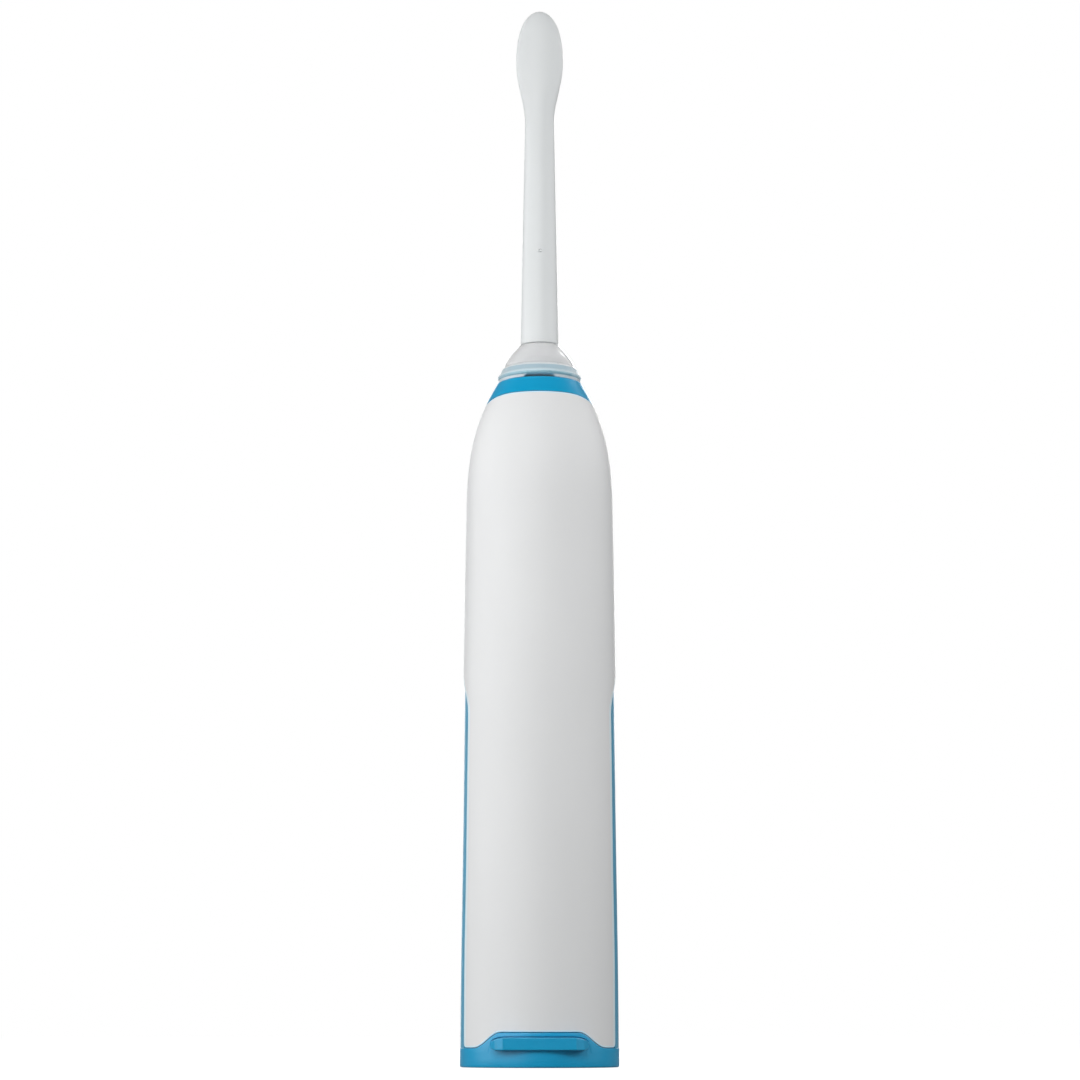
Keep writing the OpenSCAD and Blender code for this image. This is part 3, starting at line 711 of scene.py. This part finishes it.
def housing():
    """Blue inner body: its neck ring shows above the covers."""
    out, inside = -COVER_T - FIT_GAP, -COVER_T - FIT_GAP - WALL_T
    ledge, ceiling, nose_r = COVER_TOP_Z - 2.1, NECK_Z - 6.5, 6.85

    def outline(angle):
        z_ledge = COVER_TOP_Z + FIT_GAP - top_dip(angle)
        points = [(body_r(z) + out, z) for z in spread(40, HOUSING_Z, ledge, 0)]
        points += [(body_r(z) + out, z) for z in spread(8, ledge + 0.1, z_ledge, 0)]
        points += [(body_r(z_ledge), z_ledge)]
        points += [(body_r(z), z) for z in spread(10, z_ledge + 0.05, NECK_Z - 0.6, 0)]
        top_r = body_r(NECK_Z - 0.6)
        points += arc((top_r - 0.62, NECK_Z - 0.6), 0.6, 10, 90)
        points += [(nose_r, NECK_Z), (nose_r, ceiling)]
        points += [(body_r(z) + inside, z) for z in spread(30, ceiling, HOUSING_Z, 0)]
        return points

    shell = lathe("inner_housing", outline, MATERIALS["blue_plastic"], 160)
    stem = rod_cutter("stem_cutter", 2.2, BUTTON_Z, "blue_plastic")
    light = rod_cutter("pipe_cutter", LED_R + FIT_GAP, LED_Z, "blue_plastic")
    shell.data.set_sharp_from_angle(angle=math.radians(SHARP_ANGLE))
    return place(cut(shell, stem, light), "handle", "blue_plastic", "housing")


def disc_loops(profile, z_mid, sides=96):
    """Loops of a round front control; each profile entry is (radius, height, flat y)."""
    loops = []
    for rho, lift, flat in profile:
        loop = []
        for j in range(sides):
            a = 2 * math.pi * j / sides
            x, z = rho * math.cos(a), z_mid + rho * math.sin(a)
            y = flat if flat is not None else math.sqrt((body_r(z) + lift) ** 2 - x * x)
            loop.append((x, y, z))
        loops.append(loop)
    return loops


def power_button():
    """Soft round button with a shallow dish and a raised centre dot."""
    r, stem_r, back, stem_y = BUTTON_R, 1.9, -0.84, corners("power_button")[0].y
    crown = [(0.02, 0.22), (0.5, 0.22), (0.75, 0.17), (0.95, 0.02), (1.3, -0.02), (2.4, 0.02),
             (3.4, 0.1), (4.2, 0.21), (4.7, 0.28), (5.1, 0.28), (r - 0.28, 0.24), (r - 0.1, 0.12),
             (r, -0.05), (r, -0.45), (r, back)]
    profile = [(rho, lift, None) for rho, lift in crown]
    # The back follows the curved housing, so that the pressed button stays clear of it.
    profile += [(rho, back, None) for rho in (4.7, 3.8, 2.9, stem_r)]
    profile += [(stem_r, None, stem_y + 0.2), (1.7, None, stem_y), (0.02, None, stem_y)]
    button = loops_solid("soft_button", disc_loops(profile, BUTTON_Z), MATERIALS["button_grey"])
    button.data.set_sharp_from_angle(angle=math.radians(50))
    return place(button, "button", "button_grey", "power_button")


def button_bezel():
    """Slim ring round the button, just proud of the cover."""
    inner, outer = BUTTON_R + 0.15, BUTTON_R + 0.88
    profile = [(inner, -1.25), (inner, -0.4), (inner, 0.02), (inner + 0.12, 0.15),
               (inner + 0.3, 0.19), (outer - 0.25, 0.17), (outer - 0.07, 0.1), (outer, -0.02),
               (outer, -0.4), (outer, -1.25)]
    loops = disc_loops([(rho, lift, None) for rho, lift in profile], BUTTON_Z)
    count = len(loops[0])
    loops.append(loops[0])
    ring = make_object("bezel_ring", [p for loop in loops for p in loop],
                       grid_faces(len(loops), count, closed=True), MATERIALS["bezel_silver"])
    return place(ring, "handle", "bezel_silver", "button_bezel")


def led_lens():
    """Clear pipe from the board to a small domed window."""
    foot = corners("led_lens")[0].y
    profile = [(0.02, 0.04, None), (0.7, 0.03, None), (1.1, -0.01, None), (LED_R, -0.14, None),
               (LED_R, None, foot + 0.2), (LED_R - 0.2, None, foot), (0.02, None, foot)]
    lens = loops_solid("light_pipe", disc_loops(profile, LED_Z, 48), MATERIALS["lens_clear"])
    lens.data.set_sharp_from_angle(angle=math.radians(45))
    return place(lens, "handle", "lens_clear", "led_lens")


def thread_height(z, angle, start):
    """Height of a helical thread at a point, from 0 to 1."""
    best = 0
    for lap in (0, 1):
        turn = angle / (2 * math.pi) + lap
        grown = smooth(min(turn, THREAD_TURNS - turn) * 6)
        away = abs(z - start - THREAD_PITCH * turn)
        best = max(best, grown * clamp((0.42 - away) / 0.2))
    return best


def threaded_nose():
    """Neck that the head nut screws onto, with the magnets' recess inside."""
    low, high = corners("threaded_nose")
    root, crest, bore = 6.8, 7.5, 5.6

    def outline(angle):
        from_x = (angle - math.pi / 2) % (2 * math.pi)
        side = [(root + (crest - root) * thread_height(z, from_x, THREAD_FOOT_Z), z)
                for z in spread(60, NECK_Z + 0.05, high.z - 0.3, 0)]
        points = [(0, low.z), (root, low.z), (root, NECK_Z)] + side
        points += [(root - 0.05, high.z - 0.12), (root - 0.25, high.z), (bore + 0.2, high.z)]
        points += [(bore, high.z - 0.2), (bore, NECK_Z - 5.2), (bore - 0.2, NECK_Z - 5.4)]
        return points + [(0, NECK_Z - 5.4)]

    nose = lathe("screw_nose", outline, MATERIALS["nose_grey"], 128)
    nose.data.set_sharp_from_angle(angle=math.radians(40))
    return place(nose, "handle", "nose_grey", "threaded_nose")


# ---------------------------------------------------------------- end cap

def end_cap():
    """Blue base: rim that follows the covers' lower edge, skirt, socket and a groove along the
    thumb lug's top edge.
    """
    r, rim_in, skirt, skirt_in = BASE_R - 0.05, BASE_R - 1.25, BASE_R - 3.1, BASE_R - 5.5
    socket = corners("end_cap")[1].z - 1.2
    socket_r, well_r, base_t, groove_r = 4.5, 5.7, 2.0, BASE_R - 4.5
    groove_z0, groove_z1, skirt_top = 8, 9.8, 12

    def outline(angle):
        x = r * math.sin(angle)
        rise = hump_rise(x) if math.cos(angle) > 0 else 0
        top = COVER_Z + rise - CAP_SPLIT
        crease = lug_ends(x)[1] if math.cos(angle) > 0 and abs(x) < LUG_HALF else 3.0
        bite = 0.5 * smooth((LUG_HALF - abs(x)) / 0.3) if math.cos(angle) > 0 else 0
        return rounded([
            (0, socket, 0), (socket_r, socket, 0.3), (socket_r, 0, 0), (r, 0, 0.45),
            (r, 2.0, 0), (r, crease - 0.1, 0), (r - bite, crease - 0.06, 0),
            (r - bite, crease + 0.2, 0), (r, crease + 0.27, 0), (r, top, 0.22),
            (rim_in, top, 0.1), (rim_in, base_t, 0.2), (skirt, base_t, 0.2),
            (skirt, groove_z0, 0.1), (groove_r, groove_z0, 0.1), (groove_r, groove_z1, 0.1),
            (skirt, groove_z1, 0.1), (skirt, skirt_top, 0.3), (skirt_in, skirt_top, 0.3),
            (skirt_in, base_t, 0.5), (well_r, base_t, 0.5), (well_r, socket + 1.2, 0.4),
            (0, socket + 1.2, 0)], 3)

    base = lathe("base_cap", outline, MATERIALS["blue_plastic"], 240)
    base.data.set_sharp_from_angle(angle=math.radians(50))
    return place(base, "cap", "blue_plastic", "end_cap")


def lug_ends(x):
    """Lower and upper edge of the lug at x: a tight corner below, a long slope above."""
    low, high = 3.9, 6.75
    foot_r, top_rx, top_rz = 1.35, 3.7, 1.45
    foot = clamp((abs(x) - LUG_HALF + foot_r) / foot_r)
    top = clamp((abs(x) - LUG_HALF + top_rx) / top_rx)
    return (low + foot_r * (1 - math.sqrt(1 - foot ** 2)),
            high - top_rz * (1 - math.sqrt(1 - top ** 2)))


def lug_face_y(x):
    """The lug's front at x: a flat face between two slanted facets."""
    flat_x, knee, end = 8.3, (10.1, 18.1), (LUG_HALF, 16.2)
    x = abs(x)
    if x <= flat_x:
        return LUG_Y
    if x <= knee[0]:
        return mix(LUG_Y, knee[1], (x - flat_x) / (knee[0] - flat_x))
    return mix(knee[1], end[1], (x - knee[0]) / (end[0] - knee[0]))


def thumb_lug():
    """Lug standing proud of the hump, with crisp facets and edges just rounded off."""
    half = [0, 2.8, 5.6, 8.1, 8.3, 8.5, 9.2, 9.9, 10.1, 10.3, 10.55, 10.8, 10.95, 11.1, LUG_HALF]
    across = [-x for x in reversed(half[1:])] + half
    round_off = ((0, 0.3), (0.03, 0.14), (0.1, 0.05), (0.22, 0), (0.3, 0))
    outer, inner = [], []
    rows = [(0, *step) for step in round_off] + [(1, *step) for step in reversed(round_off)]
    for top, inset, sunk in rows:
        for x in across:
            low, high = lug_ends(x)
            inset_z = min(inset, 0.45 * (high - low))
            z = high - inset_z if top else low + inset_z
            depth = math.sqrt((BASE_R - 0.7) ** 2 - x * x)
            outer.append((x, -max(lug_face_y(x) - sunk, depth), z))
            inner.append((x, -(depth - 0.5), z))
    lug = slab("thumb_lug", outer, inner, len(rows), len(across), MATERIALS["blue_plastic"])
    lug.data.set_sharp_from_angle(angle=math.radians(20))
    return place(lug, "cap", "blue_plastic", "end_cap")


# ---------------------------------------------------------------- brush head

def nut_outside(angle):
    """Lip with a notch at the rear, rounded flange, step and cone of the head nut."""
    from_rear = min(angle, 2 * math.pi - angle)
    lip = mix(0.56, 0.07, smooth((math.degrees(from_rear) - 19) / 5))
    flange = [(9.35, lip), (9.6, lip + 0.05), (9.72, 0.68), (9.9, 0.88), (9.97, 1.1),
              (9.96, 1.4), (9.8, 1.75), (9.5, 2.05), (9.26, 2.4), (9.12, 2.8), (8.96, 3.15),
              (8.8, 3.4), (8.6, 3.6)]
    cone = [(8.42, 3.75), (8.3, 4.1), (8.12, 4.7), (7.54, 5.7), (6.82, 6.7), (6.02, 7.7),
            (5.18, 8.6), (4.86, 9.0), (4.74, 9.16), (4.6, 9.22)]
    return [(r, z + NECK_Z) for r, z in flange + cone]


def head_nut():
    """Clear collar: threaded inside, painted lighter or darker at each height: painted highlights
    on its lips and rim, painted shade on its foot.
    """
    turned = math.radians(NUT_TURNED)
    start = THREAD_FOOT_Z + THREAD_PITCH * (NUT_TURNED - 180) / 360
    bore, crest, wall = 7.7, 7.05, 0.75
    cone = [(8.12, 4.7), (7.54, 5.7), (6.82, 6.7), (6.02, 7.7), (5.18, 8.6), (4.8, 9.22)]

    def outline(angle):
        from_x = (angle - math.pi / 2 - turned) % (2 * math.pi)
        inner = [(r - wall, z + NECK_Z) for r, z in reversed(cone)]
        inner += [(bore - 0.1, NECK_Z + 4.1)]
        inner += [(bore - (bore - crest) * thread_height(z, from_x, start), z)
                  for z in spread(48, NECK_Z + 3.8, NECK_Z + 0.7, 0)]
        return nut_outside(angle) + inner + [(bore + 0.15, NECK_Z + 0.56)]

    nut = lathe("screw_nut", outline, MATERIALS["ice_lip_highlight"], 180)
    # Painted highlight on the lower lip, the rim and the step over the flange; painted shade on the
    # flange's foot.
    paint_by_height(nut, (NECK_Z + 0.64, "ice_foot_shade"), (NECK_Z + 1.4, "ice_rim_highlight"),
                    (NECK_Z + 2.05, "ice_clear"), (NECK_Z + 3.25, "ice_lip_highlight"),
                    (NECK_Z + 3.75, "ice_cone"))
    nut.data.set_sharp_from_angle(angle=math.radians(60))
    return place(nut, "nut", "ice_clear", "head_nut")


def hub_cone():
    """Grey-white cone under the clear collar, hollow round the brush arm."""
    low, _ = corners("hub_cone")
    outer = [(7.2, 4.7), (6.66, 5.7), (5.96, 6.7), (5.16, 7.7), (4.32, 8.6), (3.95, 9.2)]
    points = [(7.2, low.z, 0.15)] + [(r, z + NECK_Z, 0) for r, z in outer[:-1]]
    points += [(3.95, NECK_Z + 9.2, 0.1)]
    inner = [(max(3.1, r - 0.95), z + NECK_Z, 0) for r, z in reversed(outer)]
    points += [(3.1, NECK_Z + 9.2, 0.1)] + inner[1:] + [(6.22, low.z, 0.1)]
    cone = lathe("inner_cone", rounded(points), MATERIALS["cone_white"], 128)
    cone.data.set_sharp_from_angle(angle=math.radians(50))
    return place(cone, "hub", "cone_white", "hub_cone")


def arm_section(z):
    """Half width, half depth and front face of the brush arm at a height."""
    round_all, plate_front = 5, 0.9
    if z < THIN_Z:
        t = (z - STEM_Z) / (THIN_Z - STEM_Z)
        return mix(STEM_R, NECK_W, t), mix(STEM_R - 0.1, NECK_D, t), round_all
    t = smooth((z - THIN_Z) / (PLATE_MID_Z - THIN_Z))
    width, depth = mix(NECK_W, PLATE_W, t), mix(NECK_D, PLATE_D, t)
    front = mix(round_all, plate_front, smooth((z - THIN_Z) / 7))
    if z > PLATE_MID_Z:
        t = (z - PLATE_MID_Z) / (TIP_Z - PLATE_MID_Z)
        width *= math.sqrt(max(0, 1 - t ** 2.6))
        depth *= math.sqrt(max(0, 1 - t ** 5))
    return width, depth, front


def brush_arm():
    """Moulded stem and head plate: round stem, flat front behind the tuft plate."""
    sides, edge = 64, 0.25
    levels = [ARM_FOOT_Z + edge * k / 3 for k in range(4)]
    levels += spread(40, STEM_Z + 0.8, THIN_Z, 0)[1:] + spread(24, THIN_Z, PLATE_MID_Z, 0)[1:]
    levels += [mix(PLATE_MID_Z, TIP_Z - 0.06, math.sin(math.pi / 2 * i / 30)) for i in range(1, 31)]

    def loop(z, inset):
        width, depth, front = arm_section(z)
        points = []
        for j in range(sides):
            a = 2 * math.pi * j / sides
            x, y = (width - inset) * math.cos(a), (depth - inset) * math.sin(a)
            round_front = front - 0.35 * (abs(x) / max(width, 0.1)) ** 6
            points.append((x, min(y, round_front), z))
        return points

    def bore(z, r):
        return [(r * math.cos(2 * math.pi * j / sides), r * math.sin(2 * math.pi * j / sides), z)
                for j in range(sides)]

    loops = [bore(STEM_Z + 9, 2.5), bore(ARM_FOOT_Z, 2.52)]
    for z in levels:
        t = clamp((z - ARM_FOOT_Z) / edge)
        loops.append(loop(z, edge * (1 - math.sqrt(1 - (1 - t) ** 2))))
    arm = loops_solid("moulded_arm", loops, MATERIALS["head_white"])
    arm.data.set_sharp_from_angle(angle=math.radians(55))
    return place(arm, "arm", "head_white", "brush_arm")


def gate_mark():
    """Small moulding mark on the back of the stem."""
    z_mid, flatten, sides = STEM_Z + 22, 0.8, 32
    half_depth = arm_section(z_mid)[1]
    profile = [(0.02, -0.05), (0.2, -0.05), (0.25, 0.18), (0.33, 0.26), (0.43, 0.26),
               (0.52, 0.2), (0.57, 0.05), (0.6, -0.12)]
    loops = []
    for rho, lift in profile:
        ring = []
        for j in range(sides):
            a = 2 * math.pi * j / sides
            x, z = rho * math.cos(a), z_mid + flatten * rho * math.sin(a)
            width, depth, _ = arm_section(z)
            y = -depth * math.sqrt(1 - (x / width) ** 2) - lift
            ring.append((x, y, z))
        loops.append(ring)
    loops.append([(0.5 * x, -half_depth + 0.4, mix(z_mid, z, 0.5)) for x, _, z in loops[-1]])
    mark = loops_solid("gate_mark", loops, MATERIALS["head_white"])
    return place(mark, "arm", "head_white")


def tuft_places():
    """Each tuft's x and z, and whether it is at the edge, from the tuft plate's own grid."""
    low, high = corners("tuft_plate")
    r = high.x
    z0, z1 = low.z + r, high.z - r
    margin, edge_depth = 0.93, 1.2
    first_row, row_step, step = 1.37, 1.62, 1.78

    def inside(x, z, by):
        return math.hypot(x, z - clamp(z, z0, z1)) <= r - by

    places = []
    for row in range(10):
        for column in range(-2, 3):
            x = (column + (row % 2) / 2) * step
            z = low.z + first_row + row * row_step
            if inside(x, z, margin):
                places.append((x, z, not inside(x, z, margin + edge_depth)))
    return places


def tuft_filaments(x, z, y0, y1):
    """Loops of each filament of one tuft, packed in rings and splayed a little."""
    radius, thick, sides = 0.7, 0.085, 6
    filaments = []
    for ring in range(4):
        for k in range(max(6 * ring, 1)):
            a = 2 * math.pi * k / max(6 * ring, 1) + random.uniform(-0.1, 0.1)
            out = ring * (radius - thick) / 3.05
            cx, cz = out * math.cos(a), out * math.sin(a)
            tip_y = y1 - 0.1 * ring * ring / 9 - random.uniform(0, 0.12)
            splay = 1.05 + random.uniform(-0.02, 0.03)
            loops = []
            for y, size, grow in ((y0, 1, 1), (mix(y0, y1, 0.5), 1, mix(1, splay, 0.4)),
                                  (tip_y - 0.15, 1, splay), (tip_y - 0.04, 0.8, splay),
                                  (tip_y, 0.35, splay)):
                loops.append([(x + cx * grow + thick * size * math.cos(math.pi / 3 * j), y,
                               z + cz * grow + thick * size * math.sin(math.pi / 3 * j))
                              for j in range(sides)])
            filaments.append(loops)
    return filaments


def bristles(edge, name, node, slot):
    """The tufts along the head's edge, or those inside it, as one piece."""
    low, high = corners(node)
    verts, faces = [], []
    for x, z, on_edge in tuft_places():
        if on_edge != edge:
            continue
        for loops in tuft_filaments(x, z, low.y, high.y):
            first, sides = len(verts), len(loops[0])
            verts += [p for loop in loops for p in loop]
            faces += grid_faces(len(loops), sides, closed=True, first=first)
            faces.append(tuple(first + j for j in range(sides - 1, -1, -1)))
            faces.append(tuple(first + (len(loops) - 1) * sides + j for j in range(sides)))
    return place(make_object(name, verts, faces, MATERIALS[slot]), "arm", slot, node)


# ---------------------------------------------------------------- stage

ROOM_LIGHT = 0.06
FLOOR_HALF = 4000  # millimetres


def glow_for_camera(finish, near, far):
    """Adds a glow that only the camera sees, from near at the object to far further out."""
    out = finish.tree.nodes["Material Output"]
    distance = finish.add("ShaderNodeVectorMath", operation="LENGTH")
    finish.link(finish.coords, distance.inputs[0])
    strength = finish.ramp(distance.outputs["Value"], 0.12, 0.4, near, far)
    glow = finish.add("ShaderNodeEmission")
    finish.link(strength, glow.inputs["Strength"])
    path = finish.add("ShaderNodeLightPath")
    both = finish.add("ShaderNodeAddShader")
    choose = finish.add("ShaderNodeMixShader")
    finish.link(finish.shader.outputs[0], both.inputs[0])
    finish.link(glow.outputs[0], both.inputs[1])
    finish.link(path.outputs["Is Camera Ray"], choose.inputs[0])
    finish.link(finish.shader.outputs[0], choose.inputs[1])
    finish.link(both.outputs[0], choose.inputs[2])
    finish.link(choose.outputs[0], out.inputs["Surface"])


def floor():
    """Pale floor that meets the white background without a line."""
    half = FLOOR_HALF
    verts = [(-half, -half, 0), (half, -half, 0), (half, half, 0), (-half, half, 0)]
    finish = Finish("pale_floor", (0.22, 0.225, 0.225), 0.8, Specular_IOR_Level=0.1)
    finish.tint(finish.noise(40, 2), (0.20, 0.205, 0.205))
    glow_for_camera(finish, 0.88, 1.0)
    plane = make_object("studio_floor", verts, [(0, 1, 2, 3)], finish.material)
    # The object stands on its cap, so the floor goes down with the cap when it is pulled off.
    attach(plane, "cap")


def world():
    """White seen by the camera; a faint even glow lights the object."""
    studio = bpy.data.worlds.new("studio")
    studio.use_nodes = True
    tree = studio.node_tree
    tree.nodes.clear()
    out = tree.nodes.new("ShaderNodeOutputWorld")
    choose = tree.nodes.new("ShaderNodeMixShader")
    path = tree.nodes.new("ShaderNodeLightPath")
    tree.links.new(path.outputs["Is Camera Ray"], choose.inputs[0])
    for socket, strength in ((1, ROOM_LIGHT), (2, 1.0)):
        background = tree.nodes.new("ShaderNodeBackground")
        background.inputs["Color"].default_value = (1, 1, 1, 1)
        background.inputs["Strength"].default_value = strength
        tree.links.new(background.outputs[0], choose.inputs[socket])
    tree.links.new(choose.outputs[0], out.inputs["Surface"])
    bpy.context.scene.world = studio


def softbox(name, place_at, aim, size, power, spread_by=90):
    """Soft rectangular light, in metres and watts, aimed at a point."""
    light = bpy.data.lights.new(name, "AREA")
    light.shape = "RECTANGLE"
    light.size, light.size_y = size
    light.energy = power
    light.spread = math.radians(spread_by)
    obj = bpy.data.objects.new(name, light)
    obj.visible_camera = False
    obj.location = place_at
    direction = Vector(aim) - Vector(place_at)
    obj.rotation_euler = direction.to_track_quat("-Z", "Y").to_euler()
    bpy.context.scene.collection.objects.link(obj)


def camera():
    """Low camera behind the handle, tilted up to take in the brush's tip."""
    distance, height, tilt = 0.720, 0.008, 9.07
    lens = bpy.data.cameras.new("camera")
    lens.sensor_width = 36
    lens.lens = 102.73
    lens.clip_start = 0.01
    obj = bpy.data.objects.new("camera", lens)
    obj.location = (0.0001, -distance, height)
    obj.rotation_euler = (math.radians(90 + tilt), 0, 0)
    bpy.context.scene.collection.objects.link(obj)
    bpy.context.scene.camera = obj


# ---------------------------------------------------------------- build

camera()
world()
floor()
softbox("key", (-0.53, -0.47, 0.26), (0, 0, 0.14), (0.80, 0.40), 0.715)
softbox("low_key", (-0.45, -0.55, 0.12), (0, 0, 0.10), (0.50, 0.30), 0.05, 60)
softbox("middle", (-0.10, -0.62, 0.42), (0, 0, 0.14), (0.40, 0.30), 0.26, 60)
softbox("left_wrap", (-0.70, 0.10, 0.36), (0, 0, 0.15), (0.80, 0.40), 0.59)
softbox("left_low", (-0.72, -0.08, 0.06), (0, 0, 0.02), (0.50, 0.12), 0.12)
softbox("fill", (0.58, -0.40, 0.36), (0, 0, 0.15), (0.80, 0.40), 0.49)
softbox("right_wrap", (0.70, 0.10, 0.44), (0, 0, 0.16), (0.80, 0.40), 0.68)
softbox("right_low", (0.72, -0.08, 0.06), (0, 0, 0.02), (0.50, 0.12), 0.03)
softbox("rim_streak", (0.40, 0.43, 0.71), (0.004, 0, 0.168), (0.10, 0.10), 0.05)
softbox("bristle_key", (0.12, 0.80, 0.34), (0, 0, 0.14), (0.24, 0.40), 0.56)
softbox("bristle_fill", (-0.13, 0.80, 0.20), (0, 0, 0.13), (0.24, 0.40), 0.25)
bpy.context.scene.view_settings.view_transform = "Standard"

dress_cad_nodes()
rear_cover()
front_cover()
side_grip(-1, "left_strip", "side_grip_left")
side_grip(1, "right_strip", "side_grip_right")
front_grip()
housing()
power_button()
button_bezel()
led_lens()
threaded_nose()
end_cap()
thumb_lug()
head_nut()
hub_cone()
brush_arm()
gate_mark()
bristles(True, "white_tufts", "bristles_outer", "bristle_white")
bristles(False, "blue_tufts", "bristles_inner", "bristle_blue")
